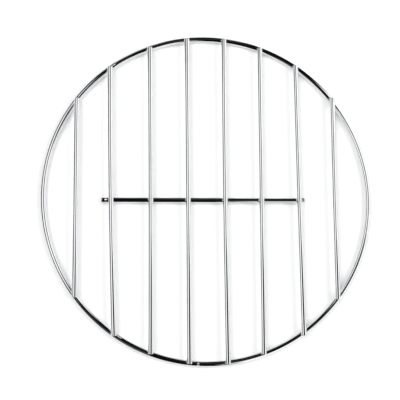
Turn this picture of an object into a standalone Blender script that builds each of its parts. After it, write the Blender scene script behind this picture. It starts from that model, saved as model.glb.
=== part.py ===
"""Round wire cooling rack.

One ring of round wire lies flat on the table. Eight thinner bars are
resistance-welded across the top of it, side by side, and one short stiffener
wire is welded across the underside of the six middle bars, at the ring's level.

Run with:  blender --background --python part.py
Metres, +Z up. The origin is the centre of the ring on the plane it stands on.
+X crosses the bars, +Y runs along them, +Z is the side the food lies on.
"""

import math

import bmesh
import bpy

# ---------------------------------------------------------------- dimensions
RACK_DIAMETER = 0.3016  # over the outside of the ring
RING_WIRE = 0.0052  # wire diameters
BAR_WIRE = 0.0047
STIFFENER_WIRE = 0.0052

BAR_COUNT = 8
BAR_PITCH = 0.0337
BAR_ROW_X = -0.0015  # middle of the row of bars, beside the ring's centre

STIFFENER_Y = -0.0022
STIFFENER_LEFT_X = -0.0964  # it stands out beyond bar 2 by more than it does beyond bar 7
STIFFENER_RIGHT_X = 0.0886

WELD_SET_DOWN = 0.0005  # how far welding presses a bar into the wire under it
WELD_GAP = 0.0003  # clearance kept between two pieces

# The bars are cut and welded by jig, so each one is a little out of line.
# millimetres: sideways shift at Y = -100 mm, sideways shift at Y = +100 mm,
# sideways bow at the middle, end short of the rack's outline at -Y and at +Y
BAR_AS_MADE = {
    1: (0.1, 1.1, 0.0, 2.0, 2.1),
    2: (0.3, -2.8, -0.7, 1.6, 2.0),
    3: (-0.2, -0.2, 0.2, 2.2, 3.0),
    4: (0.1, 0.0, 0.0, 1.7, 2.6),
    5: (0.3, 0.1, -0.3, 1.5, 3.1),
    6: (-0.7, -0.1, 0.0, 2.2, 3.1),
    7: (1.7, -0.3, -0.1, 0.0, 2.6),
    8: (0.1, 0.0, -0.2, 2.0, 1.7),
}
BOW_SPAN = 0.100  # the bow is zero at this distance from the middle

# ---------------------------------------------------------------- facets
WIRE_SIDES = 12  # every wire is a 12-sided prism, with a flat at the bottom and the top
BEVEL_RESOLUTION = 4
RING_SEGMENTS = 120
BAR_STATIONS = 9  # points along a bar

HALF_SIDE = math.pi / WIRE_SIDES
# across flats the prism measures the wire's true diameter
FLAT_TO_CORNER = 1.0 / math.cos(HALF_SIDE)

RING_R = RACK_DIAMETER / 2 - RING_WIRE / 2
RING_Z = RING_WIRE / 2
STIFFENER_Z = STIFFENER_WIRE / 2
BAR_Z = RING_WIRE - WELD_SET_DOWN + BAR_WIRE / 2

# ---------------------------------------------------------------- clean start
for old in list(bpy.data.objects):
    bpy.data.objects.remove(old, do_unlink=True)

rack = bpy.data.collections.new("cooling_rack")
bpy.context.scene.collection.children.link(rack)
cutters = bpy.data.collections.new("cutters")
bpy.context.scene.collection.children.link(cutters)


def metal(name, colour, roughness):
    material = bpy.data.materials.new(name)
    material.use_nodes = True
    shader = next(n for n in material.node_tree.nodes if n.type == "BSDF_PRINCIPLED")
    shader.inputs["Base Color"].default_value = (*colour, 1.0)
    shader.inputs["Metallic"].default_value = 1.0
    shader.inputs["Roughness"].default_value = roughness
    return material


def wire_curve(name, points, diameter, collection, closed=False):
    """A round wire along the points, with its flats level and upright."""
    curve = bpy.data.curves.new(name, "CURVE")
    curve.dimensions = "3D"
    curve.twist_mode = "Z_UP"
    curve.bevel_depth = diameter / 2 * FLAT_TO_CORNER
    curve.bevel_resolution = BEVEL_RESOLUTION
    curve.render_resolution_u = 0
    curve.use_fill_caps = not closed
    spline = curve.splines.new("POLY")
    spline.points.add(len(points) - 1)
    for p, (x, y, z) in zip(spline.points, points):
        p.co = (x, y, z, 1.0)
        p.tilt = HALF_SIDE
    spline.use_cyclic_u = closed
    obj = bpy.data.objects.new(name, curve)
    collection.objects.link(obj)
    return obj


def as_mesh(obj):
    """The curve as a closed mesh under the same name, so that it can be cut."""
    collection = obj.users_collection[0]
    name = obj.name
    bpy.context.view_layer.update()
    evaluated = obj.evaluated_get(bpy.context.evaluated_depsgraph_get())
    mesh = bpy.data.meshes.new_from_object(evaluated)
    bm = bmesh.new()
    bm.from_mesh(mesh)
    bmesh.ops.remove_doubles(bm, verts=bm.verts, dist=0.00001)
    bmesh.ops.recalc_face_normals(bm, faces=bm.faces)
    bm.to_mesh(mesh)
    bm.free()
    solid = bpy.data.objects.new(name + "_solid", mesh)
    solid.matrix_world = obj.matrix_world.copy()
    collection.objects.link(solid)
    bpy.data.objects.remove(obj, do_unlink=True)
    solid.name = name
    mesh.name = name
    return solid


def as_cutter(obj):
    obj.hide_render = True
    obj.display_type = "WIRE"
    return obj


def cut(obj, tool):
    notch = obj.modifiers.new("seat_on_" + tool.name, "BOOLEAN")
    notch.operation = "DIFFERENCE"
    notch.solver = "EXACT"
    notch.object = tool


def finish(obj, material):
    obj.data.materials.clear()
    obj.data.materials.append(material)
    obj.data.shade_smooth()
    obj.data.set_sharp_from_angle(angle=math.radians(40))


def ring_points():
    step = 2 * math.pi / RING_SEGMENTS
    return [
        (RING_R * math.cos((i + 0.5) * step), RING_R * math.sin((i + 0.5) * step), RING_Z)
        for i in range(RING_SEGMENTS)
    ]


def bar_x(number, y):
    """Where bar `number` stands at y: its place in the row, its lean and its bow."""
    near, far, bow, _, _ = BAR_AS_MADE[number]
    place = BAR_ROW_X + (number - (BAR_COUNT + 1) / 2) * BAR_PITCH
    lean = near + (far - near) * (y + 0.1) / 0.2
    curve = bow * (1 - (y / BOW_SPAN) ** 2)
    return place + (lean + curve) / 1000


def bar_end(number, side):
    """y of the bar's end: cut to the rack's outline, less what it falls short."""
    short = BAR_AS_MADE[number][3 if side < 0 else 4] / 1000
    y = side * 0.1
    for _ in range(20):
        y = side * math.sqrt((RACK_DIAMETER / 2 - short) ** 2 - bar_x(number, y) ** 2)
    return y


def bar_points(number):
    low, high = bar_end(number, -1), bar_end(number, +1)
    ys = [low + (high - low) * i / (BAR_STATIONS - 1) for i in range(BAR_STATIONS)]
    return [(bar_x(number, y), y, BAR_Z) for y in ys]


# ---------------------------------------------------------------- the pieces
chrome_ring = metal("chrome_ring_wire", (0.80, 0.81, 0.82), 0.08)
chrome_bar = metal("chrome_bar_wire", (0.80, 0.81, 0.82), 0.10)
chrome_stiffener = metal("chrome_stiffener_wire", (0.78, 0.79, 0.80), 0.09)

# the outer ring, one wire bent round and closed by a butt weld
ring = as_mesh(wire_curve("outer_ring", ring_points(), RING_WIRE, rack, closed=True))
finish(ring, chrome_ring)

# the stiffener under the middle bars
stiffener = as_mesh(
    wire_curve(
        "stiffener_wire",
        [
            (STIFFENER_LEFT_X, STIFFENER_Y, STIFFENER_Z),
            ((STIFFENER_LEFT_X + STIFFENER_RIGHT_X) / 2, STIFFENER_Y, STIFFENER_Z),
            (STIFFENER_RIGHT_X, STIFFENER_Y, STIFFENER_Z),
        ],
        STIFFENER_WIRE,
        rack,
    )
)
finish(stiffener, chrome_stiffener)

# what the welds let the bars sink over: the two lower wires, a gap larger all round
ring_seat = as_cutter(
    as_mesh(
        wire_curve("ring_seat", ring_points(), RING_WIRE + 2 * WELD_GAP, cutters, closed=True)
    )
)
stiffener_seat = as_cutter(
    as_mesh(
        wire_curve(
            "stiffener_seat",
            [
                (STIFFENER_LEFT_X - 0.005, STIFFENER_Y, STIFFENER_Z),
                (STIFFENER_RIGHT_X + 0.005, STIFFENER_Y, STIFFENER_Z),
            ],
            STIFFENER_WIRE + 2 * WELD_GAP,
            cutters,
        )
    )
)

# the eight bars, each seated over the ring at both ends and, in the middle, over the stiffener
for number in range(1, BAR_COUNT + 1):
    bar = as_mesh(wire_curve("bar_%d" % number, bar_points(number), BAR_WIRE, rack))
    finish(bar, chrome_bar)
    cut(bar, ring_seat)
    if STIFFENER_LEFT_X < bar_x(number, STIFFENER_Y) < STIFFENER_RIGHT_X:
        cut(bar, stiffener_seat)
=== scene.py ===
"""Looks of the round wire cooling rack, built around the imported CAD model.

Every wire of the CAD model is replaced by a finer one on the same line: round and smooth,
with dressed ends, the squeezed-out metal of its resistance welds, and a chrome finish.
Metres, +Z up, in the CAD model's frame: +X crosses the bars, +Y runs along them.
"""

import math  # noqa: E402

import bpy  # noqa: E402
import numpy as np  # noqa: E402
from mathutils import Matrix, Vector  # noqa: E402


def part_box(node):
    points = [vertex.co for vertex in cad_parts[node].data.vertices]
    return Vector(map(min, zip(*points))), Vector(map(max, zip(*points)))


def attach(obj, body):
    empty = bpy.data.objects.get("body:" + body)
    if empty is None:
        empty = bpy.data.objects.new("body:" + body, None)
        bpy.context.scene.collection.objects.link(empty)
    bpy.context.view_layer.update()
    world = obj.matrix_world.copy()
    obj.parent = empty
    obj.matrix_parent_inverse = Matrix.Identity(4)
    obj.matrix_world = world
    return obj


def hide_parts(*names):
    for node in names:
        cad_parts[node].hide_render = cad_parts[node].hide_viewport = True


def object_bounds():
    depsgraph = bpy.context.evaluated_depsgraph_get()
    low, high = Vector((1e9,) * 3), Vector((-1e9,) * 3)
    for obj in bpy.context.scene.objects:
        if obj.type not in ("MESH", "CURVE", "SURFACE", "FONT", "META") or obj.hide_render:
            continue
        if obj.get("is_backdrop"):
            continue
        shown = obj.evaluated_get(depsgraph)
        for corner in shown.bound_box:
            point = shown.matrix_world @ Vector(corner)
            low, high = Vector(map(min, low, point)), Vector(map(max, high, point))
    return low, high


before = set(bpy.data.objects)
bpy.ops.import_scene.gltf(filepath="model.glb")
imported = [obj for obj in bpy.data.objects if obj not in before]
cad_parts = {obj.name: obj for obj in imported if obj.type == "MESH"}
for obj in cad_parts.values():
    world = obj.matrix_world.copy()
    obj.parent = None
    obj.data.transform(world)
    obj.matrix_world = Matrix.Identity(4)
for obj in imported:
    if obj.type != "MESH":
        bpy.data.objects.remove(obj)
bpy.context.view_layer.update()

MM = 0.001

# ------------------------------------------------------------------ the rack's lines
# The places come from the CAD nodes' boxes. What a box can't say, each bar's small lean and
# bow, is repeated from the CAD source, in millimetres: shift at Y = -100, shift at Y = +100, bow.
BAR_COUNT = 8
BAR_PITCH = 0.0337
BAR_ROW_X = -0.0015
BAR_AS_MADE = {
    1: (0.1, 1.1, 0.0),
    2: (0.3, -2.8, -0.7),
    3: (-0.2, -0.2, 0.2),
    4: (0.1, 0.0, 0.0),
    5: (0.3, 0.1, -0.3),
    6: (-0.7, -0.1, 0.0),
    7: (1.7, -0.3, -0.1),
    8: (0.1, 0.0, -0.2),
}
ring_low, ring_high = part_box("outer_ring")
RING_WIRE = ring_high.z - ring_low.z
RING_R = 0.1508 - RING_WIRE / 2
RING_Z = (ring_low.z + ring_high.z) / 2
stiff_low, stiff_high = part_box("stiffener_wire")
STIFF_WIRE = stiff_high.z - stiff_low.z
STIFF_Y = (stiff_low.y + stiff_high.y) / 2
STIFF_Z = (stiff_low.z + stiff_high.z) / 2
bar_low, bar_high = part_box("bar_4")
BAR_WIRE = 0.0047
BAR_Z = bar_high.z - BAR_WIRE / 2


def bar_x(number, y):
    near, far, bow = BAR_AS_MADE[number]
    place = BAR_ROW_X + (number - (BAR_COUNT + 1) / 2) * BAR_PITCH
    lean = near + (far - near) * (y + 0.1) / 0.2
    return place + (lean + bow * (1 - (y / 0.1) ** 2)) * MM


def ring_radius(a):
    """The ring is bent on a roller and is out of round by a few tenths of a millimetre."""
    return RING_R + (
        0.13 + 0.25 * np.cos(a) - 0.31 * np.sin(a) - 0.03 * np.cos(2 * a) - 0.30 * np.sin(2 * a)
        + 0.17 * np.cos(3 * a) + 0.03 * np.sin(3 * a) - 0.12 * np.cos(4 * a) - 0.12 * np.sin(4 * a)
    ) * MM


# ------------------------------------------------------------------ the welds
# One entry a crossing: the lower wire, the bar, the point, how far the weld has drawn the
# lower wire up, how far along it the kink runs to either side, and the size of the bead.
# Side 0 is towards -X and side 1 towards +X.
def crossing(number, side):
    y = side * 0.1
    for _ in range(30):
        x = bar_x(number, y)
        a = math.atan2(y, x)
        y = side * math.sqrt(float(ring_radius(a)) ** 2 - x * x)
    return bar_x(number, y), y


# lift, reach to -X, reach to +X, bead radius, all in millimetres
RING_WELDS = {
    (1, 1): (0.05, 3.0, 3.0, 1.0),
    (2, 1): (0.05, 3.5, 4.0, 1.1),
    (3, 1): (0.05, 3.0, 4.0, 0.9),
    (4, 1): (0.05, 3.0, 4.0, 1.2),
    (5, 1): (0.05, 3.0, 4.0, 1.1),
    (6, 1): (0.08, 4.0, 4.2, 1.0),
    (7, 1): (0.05, 3.5, 4.0, 1.0),
    (8, 1): (0.05, 3.5, 4.0, 1.1),
    (1, -1): (0.05, 3.0, 3.5, 1.0),
    (2, -1): (0.50, 16.0, 8.0, 1.1),
    (3, -1): (0.55, 16.0, 9.0, 1.0),
    (4, -1): (0.05, 3.0, 4.0, 1.0),
    (5, -1): (0.05, 3.0, 4.0, 0.9),
    (6, -1): (0.05, 3.0, 4.0, 0.9),
    (7, -1): (0.05, 3.0, 4.0, 1.0),
    (8, -1): (0.05, 3.0, 4.0, 1.0),
}
# for the stiffener
STIFF_WELDS = {
    2: (0.06, 3.5, 5.0, 0.9),
    3: (0.06, 3.5, 5.0, 0.9),
    4: (0.06, 3.5, 5.0, 0.9),
    5: (0.06, 3.5, 5.0, 0.9),
    6: (0.03, 3.5, 5.0, 1.2),
    7: (0.42, 16.0, 6.4, 1.2),
}

# where the ring stands up a little beside a weld, towards +X: height, start, rise and fall
RING_HUMPS = {(2, 1): (0.36, 1.0, 6.5, 18.0)}
STUB_STEP = 0.00020

ring_welds = []
for (number, side), (lift, left, right, bead) in RING_WELDS.items():
    x, y = crossing(number, side)
    ring_welds.append(
        {"bar": number, "x": x, "y": y, "a": math.atan2(y, x), "lift": lift * MM,
         "left": left * MM, "right": right * MM, "bead": bead * MM}
    )
stiff_welds = [
    {"bar": n, "x": bar_x(n, STIFF_Y), "y": STIFF_Y, "lift": lift * MM,
     "left": left * MM, "right": right * MM, "bead": bead * MM}
    for n, (lift, left, right, bead) in STIFF_WELDS.items()
]


def smooth(t):
    t = np.clip(t, 0.0, 1.0)
    return t * t * (3 - 2 * t)


def kink(d, left, right):
    """1 at the weld, falling straight to 0 at -left and at +right, with the corners eased."""
    t = np.where(d < 0, -d / left, d / right)
    ease = 0.12
    flat = 1 - t
    rounded = np.where(t > 1 - ease, (1 + ease - t) ** 2 / (4 * ease), flat)
    rounded = np.where(t > 1 + ease, 0.0, rounded)
    return np.clip(np.where(t < ease, 1 - ease / 2 - t * t / (2 * ease), rounded), 0, 1)


def ring_lift(a):
    """How far the ring's centreline stands above its plane at angle a."""
    z = np.zeros_like(a)
    for w in ring_welds:
        d = (a - w["a"] + math.pi) % (2 * math.pi) - math.pi
        # along the ring, counted positive where it leads to +X
        s = d * RING_R * (1 if math.sin(w["a"]) < 0 else -1)
        z = np.maximum(z, w["lift"] * kink(s, w["left"], w["right"]))
    for (number, side), (height, start, rise, fall) in RING_HUMPS.items():
        w = next(v for v in ring_welds if v["bar"] == number and (v["y"] > 0) == (side > 0))
        d = (a - w["a"] + math.pi) % (2 * math.pi) - math.pi
        s = d * RING_R / MM * (1 if math.sin(w["a"]) < 0 else -1)
        z = z + height * MM * np.minimum(smooth((s - start) / rise), 1 - smooth((s - start - rise) / fall))
    return z


def stiff_lift(x):
    # the stub is set down again towards its end, where it bears on the table
    z = STUB_STEP * np.minimum(
        smooth((x - stiff_low.x - 0.0030) / 0.0026), 1 - smooth((x - stiff_low.x - 0.0100) / 0.0220)
    )
    for w in stiff_welds:
        z = np.maximum(z, w["lift"] * kink(x - w["x"], w["left"], w["right"]))
    return z


# ------------------------------------------------------------------ mesh making
def tube(name, centres, across, up, radii, weld, closed=False):
    """A wire mesh. centres, across and up are one row a station; radii is stations x sides.
    weld is stations x sides, from 0 on clean wire to 1 on weld metal."""
    n, sides = radii.shape
    phi = np.linspace(0, 2 * math.pi, sides, endpoint=False)
    ring_dirs = (
        np.cos(phi)[None, :, None] * across[:, None, :] + np.sin(phi)[None, :, None] * up[:, None, :]
    )
    points = (centres[:, None, :] + radii[:, :, None] * ring_dirs).reshape(-1, 3)
    i = np.arange(n if closed else n - 1)[:, None]
    j = np.arange(sides)[None, :]
    i2, j2 = (i + 1) % n, (j + 1) % sides
    quads = np.stack(
        [i * sides + j, i * sides + j2, i2 * sides + j2, i2 * sides + j], -1
    ).reshape(-1, 4)
    faces = quads.tolist()
    values = weld.reshape(-1).tolist()
    points = points.tolist()
    if not closed:
        for end, order in ((0, -1), (n - 1, 1)):
            centre = len(points)
            points.append(centres[end].tolist())
            values.append(0.0)
            base = end * sides
            for k in range(sides):
                a, b = base + k, base + (k + 1) % sides
                faces.append([a, b, centre] if order > 0 else [b, a, centre])
    mesh = bpy.data.meshes.new(name)
    mesh.from_pydata(points, [], faces)
    mesh.validate()
    mesh.update()
    layer = mesh.attributes.new("weld", "FLOAT", "POINT")
    layer.data.foreach_set("value", np.array(values, np.float32))
    obj = bpy.data.objects.new(name, mesh)
    bpy.context.scene.collection.objects.link(obj)
    return obj


def face_outwards(obj):
    """Turns the mesh's faces outwards if its volume comes out negative."""
    me = obj.data
    co = np.zeros(len(me.vertices) * 3)
    me.vertices.foreach_get("co", co)
    co = co.reshape(-1, 3)
    volume = 0.0
    for p in me.polygons:
        v = [co[k] for k in p.vertices]
        for m in range(1, len(v) - 1):
            volume += float(np.dot(v[0], np.cross(v[m], v[m + 1])))
    if volume < 0:
        me.flip_normals()


def stations(low, high, coarse, dense, spots, reach):
    """Sorted places from low to high: coarse apart, and dense apart within reach of each spot."""
    places = set(np.round(np.linspace(low, high, max(2, int((high - low) / coarse) + 1)), 7))
    for s in spots:
        a, b = max(low, s - reach), min(high, s + reach)
        if b > a:
            places |= set(np.round(np.linspace(a, b, max(2, int((b - a) / dense) + 1)), 7))
    out = []
    for p in sorted(places):
        if not out or p - out[-1] > dense * 0.45:
            out.append(p)
    out[-1] = high
    return np.array(out)


def dressed(s, low, high, radius, edge_low, edge_high, drop_low=None, drop_high=None):
    """The wire's radius at s, rounded over at its two cut ends: an edge is how far along the
    wire the rounding runs, and a drop how far it goes in (as far, if not given)."""
    r = np.full_like(s, radius)
    for end, edge, drop in ((low, edge_low, drop_low), (high, edge_high, drop_high)):
        e = np.abs(s - end)
        near = e < edge
        t = 1 - e[near] / edge
        r[near] = radius - (drop or edge) * (1 - np.sqrt(np.maximum(1 - t * t, 0)))
    return r


def end_stations(low, high, edge_low, edge_high):
    t = np.sin(np.linspace(0, math.pi / 2, 8)) ** 2
    return np.concatenate([low + edge_low * t, high - edge_high * t])


def wavering(s, seed, size):
    """Drawn wire is never dead straight: a slow sideways wander, the same on every run."""
    rng = np.random.default_rng(seed)
    out = np.zeros_like(s)
    for k in range(3):
        out += rng.uniform(0.4, 1.0) * np.sin(s / (0.021 + 0.017 * k) + rng.uniform(0, 6.28))
    return out * size / 2


# ------------------------------------------------------------------ the wires
BAR_SIDES = 56
RING_SIDES = 48

# --- the ring
angles = stations(-math.pi, math.pi, 0.0016 / RING_R, 0.00030 / RING_R,
                  [w["a"] for w in ring_welds], 0.0095 / RING_R)[:-1]
BUTT_A = math.atan2(-0.148, -0.0105)  # where the ring's two ends were butt welded
extra = BUTT_A + np.linspace(-0.0045, 0.0045, 37) / RING_R
angles = np.unique(np.round(np.concatenate([angles, extra]), 7))
ra = ring_radius(angles)
lift = ring_lift(angles)
centres = np.stack([ra * np.cos(angles), ra * np.sin(angles), RING_Z + lift], -1)
slope = np.gradient(lift, angles * RING_R)
across = np.stack([np.cos(angles), np.sin(angles), np.zeros_like(angles)], -1)
along = np.stack([-np.sin(angles), np.cos(angles), slope], -1)
along /= np.linalg.norm(along, axis=1)[:, None]
up = np.cross(across, along)
up *= np.sign(up[:, 2])[:, None]
radii = np.full((len(angles), RING_SIDES), RING_WIRE / 2)
# the butt weld: a low collar with a groove beside it, dressed off by hand
d = ((angles - BUTT_A + math.pi) % (2 * math.pi) - math.pi) * RING_R / MM
phi = np.linspace(0, 2 * math.pi, RING_SIDES, endpoint=False)
collar = 0.16 * np.exp(-((d - 0.55) / 0.42) ** 2) + 0.13 * np.exp(-((d + 0.75) / 0.5) ** 2)
collar = collar - 0.10 * np.exp(-(d / 0.30) ** 2)
lump = 1 + 0.5 * np.sin(phi[None, :] * 2 + 0.7) * np.exp(-(d[:, None] / 1.6) ** 2)
radii += collar[:, None] * lump * MM
ring_weld_mask = np.zeros_like(radii)
for w in ring_welds:
    s = np.abs((angles - w["a"] + math.pi) % (2 * math.pi) - math.pi) * RING_R
    ring_weld_mask = np.maximum(ring_weld_mask, smooth(1 - s / 0.005)[:, None] * np.ones_like(radii))
ring_weld_mask = np.maximum(ring_weld_mask, smooth(1 - np.abs(d) / 3.0)[:, None] * np.ones_like(radii))
# it is ground flush underneath, where the rack stands
under = RING_WIRE / 2 / np.maximum(-np.sin(phi), 1e-6)
radii = np.minimum(radii, np.where(np.sin(phi) < 0, np.maximum(under, RING_WIRE / 2), 1.0)[None, :])
ring = tube("ring_wire", centres, across, up, radii, ring_weld_mask, closed=True)

# --- the stiffener
EDGE = 0.00045
STUB_EDGE, STUB_DROP = 0.0009, 0.0007  # the long stub is cut and tumbled round
sx = stations(stiff_low.x, stiff_high.x, 0.0030, 0.00030, [w["x"] for w in stiff_welds], 0.0085)
sx = np.unique(np.round(np.concatenate([sx, end_stations(stiff_low.x, stiff_high.x, STUB_EDGE, EDGE)]), 7))
lift = stiff_lift(sx)
centres = np.stack([sx, np.full_like(sx, STIFF_Y), STIFF_Z + lift], -1)
slope = np.gradient(lift, sx)
along = np.stack([np.ones_like(sx), np.zeros_like(sx), slope], -1)
along /= np.linalg.norm(along, axis=1)[:, None]
across = np.tile(np.array([0.0, 1.0, 0.0]), (len(sx), 1))
up = np.cross(along, across)
up *= np.sign(up[:, 2])[:, None]
radii = dressed(sx, stiff_low.x, stiff_high.x, STIFF_WIRE / 2, STUB_EDGE, EDGE, STUB_DROP)[:, None] * np.ones((1, RING_SIDES))
stiff_mask = np.zeros_like(radii)
for w in stiff_welds:
    stiff_mask = np.maximum(stiff_mask, smooth(1 - np.abs(sx - w["x"]) / 0.005)[:, None] * np.ones_like(radii))
stiffener = tube("stiffener_wire_fine", centres, across, up, radii, stiff_mask)


# --- the bars, each with the metal of its welds
def lower_wire_distance(p, weld, on_ring):
    """Distance from points to the surface of the wire under the weld."""
    if on_ring:
        a = np.arctan2(p[..., 1], p[..., 0])
        z = RING_Z + ring_lift(a)
        return np.hypot(np.hypot(p[..., 0], p[..., 1]) - ring_radius(a), p[..., 2] - z) - RING_WIRE / 2
    z = STIFF_Z + stiff_lift(p[..., 0])
    return np.hypot(p[..., 1] - STIFF_Y, p[..., 2] - z) - STIFF_WIRE / 2


def smooth_min(a, b, k):
    h = np.maximum(k - np.abs(a - b), 0) / k
    return np.minimum(a, b) - h * h * k / 4


bars = []
for number in range(1, BAR_COUNT + 1):
    low, high = (v.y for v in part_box("bar_%d" % number))
    welds = [(w, True) for w in ring_welds if w["bar"] == number]
    welds += [(w, False) for w in stiff_welds if w["bar"] == number]
    rng = np.random.default_rng(40 + number)
    edge_low, edge_high = rng.uniform(0.00030, 0.00055, 2)
    ys = stations(low, high, 0.0030, 0.00028, [w["y"] for w, _ in welds], 0.0056)
    ys = np.unique(np.round(np.concatenate([ys, end_stations(low, high, edge_low, edge_high)]), 7))
    xs = bar_x(number, ys)
    wander = wavering(ys, 100 + number, 0.00006)
    dxdy = np.gradient(xs, ys)
    centres = np.stack([xs + wander, ys, np.full_like(ys, BAR_Z)], -1)
    along = np.stack([dxdy, np.ones_like(ys), np.zeros_like(ys)], -1)
    along /= np.linalg.norm(along, axis=1)[:, None]
    up = np.tile(np.array([0.0, 0.0, 1.0]), (len(ys), 1))
    across = np.cross(along, up)
    base = dressed(ys, low, high, BAR_WIRE / 2, edge_low, edge_high)
    radii = base[:, None] * np.ones((1, BAR_SIDES))
    mask = np.zeros_like(radii)
    phi = np.linspace(0, 2 * math.pi, BAR_SIDES, endpoint=False)
    dirs = np.cos(phi)[None, :, None] * across[:, None, :] + np.sin(phi)[None, :, None] * up[:, None, :]
    for w, on_ring in welds:
        near = np.abs(ys - w["y"]) < 0.0057
        k = w["bead"]
        steps = np.linspace(0, 1.25 * k, 36)
        rr = base[near][:, None, None] + steps[None, None, :]
        p = centres[near][:, None, None, :] + rr[..., None] * dirs[near][:, :, None, :]
        bar_d = steps[None, None, :] * np.ones_like(rr)
        f = smooth_min(bar_d, lower_wire_distance(p, w, on_ring), k)
        inside = f < -1e-7
        # the first step outwards that is no longer inside the blended metal
        last = np.argmin(np.concatenate([inside[..., 1:], np.zeros(inside.shape[:2] + (1,), bool)], -1), -1)
        a = np.clip(last, 0, len(steps) - 2)
        fa = np.take_along_axis(f, a[..., None], -1)[..., 0]
        fb = np.take_along_axis(f, a[..., None] + 1, -1)[..., 0]
        t = np.where((fa < 0) & (fb > 0), -fa / np.maximum(fb - fa, 1e-12), np.where(fa < 0, 1.0, 0.0))
        grown = base[near][:, None] + (a + t) * (steps[1] - steps[0])
        radii[near] = np.maximum(radii[near], grown)
        closeness = smooth(1 - np.abs(ys[near] - w["y"]) / 0.0056)[:, None]
        mask[near] = np.maximum(mask[near], closeness * np.ones((1, BAR_SIDES)))
    bar = tube("bar_wire_%d" % number, centres, across, up, radii, mask)
    bars.append(bar)

for piece in [ring, stiffener, *bars]:
    face_outwards(piece)
    piece.data.shade_smooth()
    piece.data.set_sharp_from_angle(angle=math.radians(38))


# ------------------------------------------------------------------ chrome
def chrome(name, tint, rough, along_axis, seed):
    """Bright chrome plate over drawn wire: fine drawing lines along the wire, a slow waviness,
    a few dull specks, and a rougher, slightly warmer bloom over the welds."""
    material = bpy.data.materials.new(name)
    material.use_nodes = True
    tree = material.node_tree
    nodes, link = tree.nodes, tree.links.new
    shader = next(n for n in nodes if n.type == "BSDF_PRINCIPLED")
    shader.inputs["Metallic"].default_value = 1.0

    def node(kind, **values):
        n = nodes.new(kind)
        for key, value in values.items():
            setattr(n, key, value)
        return n

    def math_node(operation, a, b=None, clamp=False):
        n = node("ShaderNodeMath", operation=operation, use_clamp=clamp)
        for k, v in ((0, a), (1, b)):
            if v is None:
                continue
            if isinstance(v, (int, float)):
                n.inputs[k].default_value = v
            else:
                link(v, n.inputs[k])
        return n.outputs[0]

    place = node("ShaderNodeTexCoord").outputs["Object"]
    if along_axis == "ring":
        xyz = node("ShaderNodeSeparateXYZ")
        link(place, xyz.inputs[0])
        length = math_node("SQRT", math_node("ADD", math_node("MULTIPLY", xyz.outputs[0], xyz.outputs[0]),
                                             math_node("MULTIPLY", xyz.outputs[1], xyz.outputs[1])))
        angle = math_node("ARCTAN2", xyz.outputs[1], xyz.outputs[0])
        arc = math_node("MULTIPLY", angle, 0.148)
        combine = node("ShaderNodeCombineXYZ")
        link(length, combine.inputs[0])
        link(arc, combine.inputs[1])
        link(xyz.outputs[2], combine.inputs[2])
        place = combine.outputs[0]
        stretch = (9000.0, 160.0, 9000.0)
    elif along_axis == "y":
        stretch = (9000.0, 160.0, 9000.0)
    else:
        stretch = (160.0, 9000.0, 9000.0)
    mapping = node("ShaderNodeMapping")
    mapping.inputs["Scale"].default_value = stretch
    mapping.inputs["Location"].default_value = (seed * 1.7, seed * 2.3, seed * 0.9)
    link(place, mapping.inputs["Vector"])

    lines = node("ShaderNodeTexNoise")
    lines.inputs["Scale"].default_value = 1.0
    lines.inputs["Detail"].default_value = 3.0
    lines.inputs["Roughness"].default_value = 0.6
    link(mapping.outputs[0], lines.inputs["Vector"])

    slow = node("ShaderNodeTexNoise")
    slow.inputs["Scale"].default_value = 85.0
    slow.inputs["Detail"].default_value = 2.0
    link(place, slow.inputs["Vector"])

    specks = node("ShaderNodeTexVoronoi")
    specks.inputs["Scale"].default_value = 1400.0
    link(place, specks.inputs["Vector"])
    speck = node("ShaderNodeMapRange")
    speck.inputs["From Min"].default_value = 0.02
    speck.inputs["From Max"].default_value = 0.13
    speck.inputs["To Min"].default_value = 1.0
    speck.inputs["To Max"].default_value = 0.0
    link(specks.outputs["Distance"], speck.inputs["Value"])

    weld = node("ShaderNodeAttribute", attribute_name="weld").outputs["Fac"]
    grain = node("ShaderNodeTexNoise")
    grain.inputs["Scale"].default_value = 2600.0
    grain.inputs["Detail"].default_value = 4.0
    link(place, grain.inputs["Vector"])

    # colour: neutral chrome, a shade warmer and darker over the welds, with a slow drift
    ramp = node("ShaderNodeValToRGB")
    ramp.color_ramp.elements[0].position = 0.30
    ramp.color_ramp.elements[0].color = (*(c * 0.955 for c in tint), 1.0)
    ramp.color_ramp.elements[1].position = 0.70
    ramp.color_ramp.elements[1].color = (*tint, 1.0)
    link(slow.outputs[0], ramp.inputs[0])
    warm = node("ShaderNodeMix", data_type="RGBA", blend_type="MULTIPLY")
    link(math_node("MULTIPLY", weld, math_node("MULTIPLY", grain.outputs[0], 0.9), True), warm.inputs["Factor"])
    link(ramp.outputs[0], warm.inputs[6])
    warm.inputs[7].default_value = (0.90, 0.875, 0.84, 1.0)
    link(warm.outputs[2], shader.inputs["Base Color"])

    # roughness: mirror bright, a little more along the drawing lines, specks and welds
    rough_lines = math_node("MULTIPLY", lines.outputs[0], 0.03)
    rough_weld = math_node("MULTIPLY", math_node("MULTIPLY", weld, grain.outputs[0]), 0.12)
    rough_speck = math_node("MULTIPLY", speck.outputs[0], 0.10)
    total = math_node("ADD", math_node("ADD", rough_lines, rough_weld), math_node("ADD", rough_speck, rough))
    link(total, shader.inputs["Roughness"])

    # bump: the drawing lines, and the orange peel of plate over weld metal
    height = math_node("ADD", math_node("MULTIPLY", lines.outputs[0], 0.25),
                       math_node("MULTIPLY", math_node("MULTIPLY", weld, grain.outputs[0]), 1.2))
    height = math_node("ADD", height, math_node("MULTIPLY", speck.outputs[0], -0.25))
    bump = node("ShaderNodeBump")
    bump.inputs["Strength"].default_value = 0.35
    bump.inputs["Distance"].default_value = 0.00001
    link(height, bump.inputs["Height"])
    link(bump.outputs[0], shader.inputs["Normal"])
    return material


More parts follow.
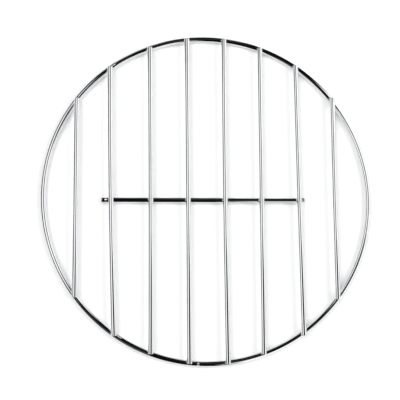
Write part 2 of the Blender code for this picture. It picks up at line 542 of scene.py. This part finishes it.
chrome_ring = chrome("chrome_ring", (0.80, 0.81, 0.82), 0.015, "ring", 1.0)
chrome_bar = chrome("chrome_bar", (0.81, 0.82, 0.83), 0.020, "y", 2.0)
chrome_stiff = chrome("chrome_stiffener", (0.78, 0.79, 0.80), 0.015, "x", 3.0)

for piece, node_name, slot, material in (
    [(ring, "outer_ring", "ring_wire", chrome_ring), (stiffener, "stiffener_wire", "stiffener_wire", chrome_stiff)]
    + [(bar, "bar_%d" % (k + 1), "bar_wire", chrome_bar) for k, bar in enumerate(bars)]
):
    piece.data.materials.append(material)
    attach(piece, "root")
    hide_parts(node_name)


# ------------------------------------------------------------------ the studio
def emission(name, colour, strength):
    material = bpy.data.materials.new(name)
    material.use_nodes = True
    tree = material.node_tree
    tree.nodes.clear()
    out = tree.nodes.new("ShaderNodeOutputMaterial")
    glow = tree.nodes.new("ShaderNodeEmission")
    glow.inputs["Color"].default_value = (*colour, 1.0)
    glow.inputs["Strength"].default_value = strength
    tree.links.new(glow.outputs[0], out.inputs[0])
    return material


def sheet(name, corners, material):
    mesh = bpy.data.meshes.new(name)
    mesh.from_pydata(corners, [], [list(range(len(corners)))])
    mesh.update()
    obj = bpy.data.objects.new(name, mesh)
    bpy.context.scene.collection.objects.link(obj)
    obj.data.materials.append(material)
    obj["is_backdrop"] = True
    return obj


def only_in_reflections(obj):
    obj.visible_camera = False
    obj.visible_diffuse = False
    obj.visible_shadow = False
    obj.visible_transmission = False
    obj.visible_volume_scatter = False


FLOOR_GLOW = 0.12
KEY_RIGHT = 42.0
KEY_LEFT = 46.0
# The floor is a plain white sheet, lit a little past full white, as on a light table.
floor_material = bpy.data.materials.new("floor")
floor_material.use_nodes = True
tree = floor_material.node_tree
tree.nodes.clear()
out = tree.nodes.new("ShaderNodeOutputMaterial")
add = tree.nodes.new("ShaderNodeAddShader")
glow = tree.nodes.new("ShaderNodeEmission")
glow.inputs["Color"].default_value = (0.97, 0.985, 1.0, 1.0)
glow.inputs["Strength"].default_value = FLOOR_GLOW
matt = tree.nodes.new("ShaderNodeBsdfDiffuse")
matt.inputs["Color"].default_value = (0.80, 0.80, 0.80, 1.0)
tree.links.new(glow.outputs[0], add.inputs[0])
tree.links.new(matt.outputs[0], add.inputs[1])
tree.links.new(add.outputs[0], out.inputs[0])
floor = sheet("floor", [(-4, -4, 0), (4, -4, 0), (4, 4, 0), (-4, 4, 0)], floor_material)
floor.location.z = -0.00002

# What the chrome mirrors: a dark room with two large soft light panels, one to the left and one
# to the right, with a dark gap between them overhead. Each panel is an outline on a dome over
# the rack, seen from above (+X to the right, +Y up, 1 at the dome's rim), with its brightness
# and the width of its soft edge.
PANELS = [
    # the left panel
    ([(-0.47, 0.50), (-0.30, 0.52), (-0.18, 0.40), (-0.16, 0.20), (-0.18, 0.03), (-0.29, -0.11), (-0.36, -0.23),
      (-0.47, -0.31), (-0.62, -0.36), (-0.76, -0.31), (-0.83, -0.20), (-0.80, -0.03), (-0.73, 0.10), (-0.67, 0.22),
      (-0.63, 0.36), (-0.56, 0.46)], 1.35, 0.06),
    # the walls it lights to the left and towards the back
    ([(-0.86, 0.30), (-0.80, 0.38), (-0.62, 0.38), (-0.68, 0.10), (-0.80, 0.00), (-0.85, 0.06)], 0.50, 0.08),
    ([(-0.88, 0.36), (-0.70, 0.66), (-0.42, 0.60), (-0.36, 0.50), (-0.62, 0.42)], 0.20, 0.12),
    ([(-0.34, 0.96), (-0.20, 0.99), (-0.12, 0.90), (-0.20, 0.84), (-0.46, 0.76), (-0.48, 0.87)], 0.60, 0.08),
    ([(0.16, 0.91), (0.28, 0.89), (0.28, 0.97), (0.16, 0.99)], 0.80, 0.06),
    # the right panel: a bright band that runs down to the table, and its softer inner part
    ([(0.44, 0.36), (0.46, 0.48), (0.58, 0.60), (0.74, 0.65), (0.86, 0.56), (0.97, 0.26), (1.00, 0.00),
      (0.96, -0.32), (0.84, -0.56), (0.60, -0.82), (0.30, -0.98), (0.26, -0.92), (0.32, -0.76), (0.56, -0.66),
      (0.72, -0.44), (0.76, -0.20), (0.72, 0.05), (0.66, 0.22), (0.50, 0.26)], 1.40, 0.08),
    ([(0.29, 0.05), (0.31, 0.24), (0.38, 0.36), (0.44, 0.48), (0.60, 0.40), (0.76, 0.20), (0.76, -0.10),
      (0.64, -0.02), (0.44, 0.03)], 0.95, 0.05),
    ([(0.66, 0.00), (0.50, -0.20), (0.42, -0.30), (0.46, -0.50), (0.60, -0.58), (0.74, -0.44), (0.78, -0.10)], 0.30, 0.12),
    # faint light low down at the front, and the lit wall to the front left
    ([(0.16, -0.60), (0.32, -0.57), (0.36, -0.80), (0.28, -0.94), (0.17, -0.92)], 0.80, 0.10),
    ([(-0.75, -0.42), (-0.45, -0.48), (-0.30, -0.45), (-0.20, -0.60), (-0.30, -0.80), (-0.60, -0.78)], 0.12, 0.16),
    # the room's back wall above the gap
    ([(0.00, 0.30), (0.14, 0.28), (0.14, 0.44), (0.02, 0.46)], 0.12, 0.10),
]
DARK = 0.006


def outside_distance(px, py, outline):
    """Signed distance of points to a closed outline, negative inside it."""
    inside = np.zeros(px.shape, bool)
    best = np.full(px.shape, 9.0)
    for (x1, y1), (x2, y2) in zip(outline, outline[1:] + outline[:1]):
        ex, ey = x2 - x1, y2 - y1
        t = np.clip(((px - x1) * ex + (py - y1) * ey) / (ex * ex + ey * ey), 0, 1)
        best = np.minimum(best, np.hypot(px - x1 - t * ex, py - y1 - t * ey))
        crosses = ((y1 > py) != (y2 > py)) & (px < (x2 - x1) * (py - y1) / ((y2 - y1) or 1e-9) + x1)
        inside ^= crosses
    return np.where(inside, -best, best)


def room_light(dx, dy):
    light = np.full(dx.shape, DARK)
    for outline, bright, soft in PANELS:
        light = np.maximum(light, bright * smooth(0.5 - outside_distance(dx, dy, outline) / soft))
    return light


ROOM_R = 0.85
rings, sectors = 110, 240
el = np.linspace(0, math.pi / 2, rings)
az = np.linspace(0, 2 * math.pi, sectors, endpoint=False)
dx = np.cos(el)[:, None] * np.cos(az)[None, :]
dy = np.cos(el)[:, None] * np.sin(az)[None, :]
dz = np.sin(el)[:, None] * np.ones_like(az)[None, :]
points = (np.stack([dx, dy, dz], -1) * ROOM_R).reshape(-1, 3)
i, j = np.arange(rings - 1)[:, None], np.arange(sectors)[None, :]
j2 = (j + 1) % sectors
quads = np.stack([i * sectors + j, (i + 1) * sectors + j, (i + 1) * sectors + j2, i * sectors + j2], -1)
room_mesh = bpy.data.meshes.new("room")
room_mesh.from_pydata(points.tolist(), [], quads.reshape(-1, 4).tolist())
room_mesh.update()
layer = room_mesh.attributes.new("glow", "FLOAT", "POINT")
layer.data.foreach_set("value", room_light(dx, dy).reshape(-1).astype(np.float32))
room = bpy.data.objects.new("room", room_mesh)
bpy.context.scene.collection.objects.link(room)
room_material = emission("room_light", (1.0, 1.0, 1.0), 1.0)
tree = room_material.node_tree
source = tree.nodes.new("ShaderNodeAttribute")
source.attribute_name = "glow"
glow = next(n for n in tree.nodes if n.type == "EMISSION")
tree.links.new(source.outputs["Fac"], glow.inputs["Strength"])
room.data.materials.append(room_material)
only_in_reflections(room)
room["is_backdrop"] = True


def area(name, place, size, power):
    light = bpy.data.lights.new(name, "AREA")
    light.shape = "RECTANGLE"
    light.size, light.size_y = size
    light.energy = power
    obj = bpy.data.objects.new(name, light)
    bpy.context.scene.collection.objects.link(obj)
    obj.location = place
    obj.rotation_mode = "QUATERNION"
    obj.rotation_quaternion = (-Vector(place)).to_track_quat("-Z", "Y")
    obj.visible_glossy = False
    obj.visible_camera = False
    return obj


area("key_right", (1.85, 0.10, 1.65), (1.7, 1.7), KEY_RIGHT)
area("key_left", (-1.25, 0.55, 2.10), (1.9, 1.9), KEY_LEFT)

world = bpy.data.worlds.new("studio")
bpy.context.scene.world = world
world.use_nodes = True
background = next(n for n in world.node_tree.nodes if n.type == "BACKGROUND")
background.inputs["Color"].default_value = (1.0, 1.0, 1.0, 1.0)
background.inputs["Strength"].default_value = 0.42

# ------------------------------------------------------------------ the camera
cam_data = bpy.data.cameras.new("camera")
cam_data.lens = 83.602
cam_data.sensor_width = 36.0
cam_data.clip_start, cam_data.clip_end = 0.01, 20.0
camera = bpy.data.objects.new("camera", cam_data)
bpy.context.scene.collection.objects.link(camera)
rx, ry, rz = (math.radians(v) for v in (-7.20689, 5.52302, -0.16131))
turn = Matrix.Rotation(rz, 3, "Z") @ Matrix.Rotation(ry, 3, "Y") @ Matrix.Rotation(rx, 3, "X")
camera.matrix_world = Matrix.Translation((-0.08824675, -0.10708219, 0.83408395)) @ turn.transposed().to_4x4()
bpy.context.scene.camera = camera
bpy.context.scene.view_settings.view_transform = "Standard"

low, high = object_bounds()
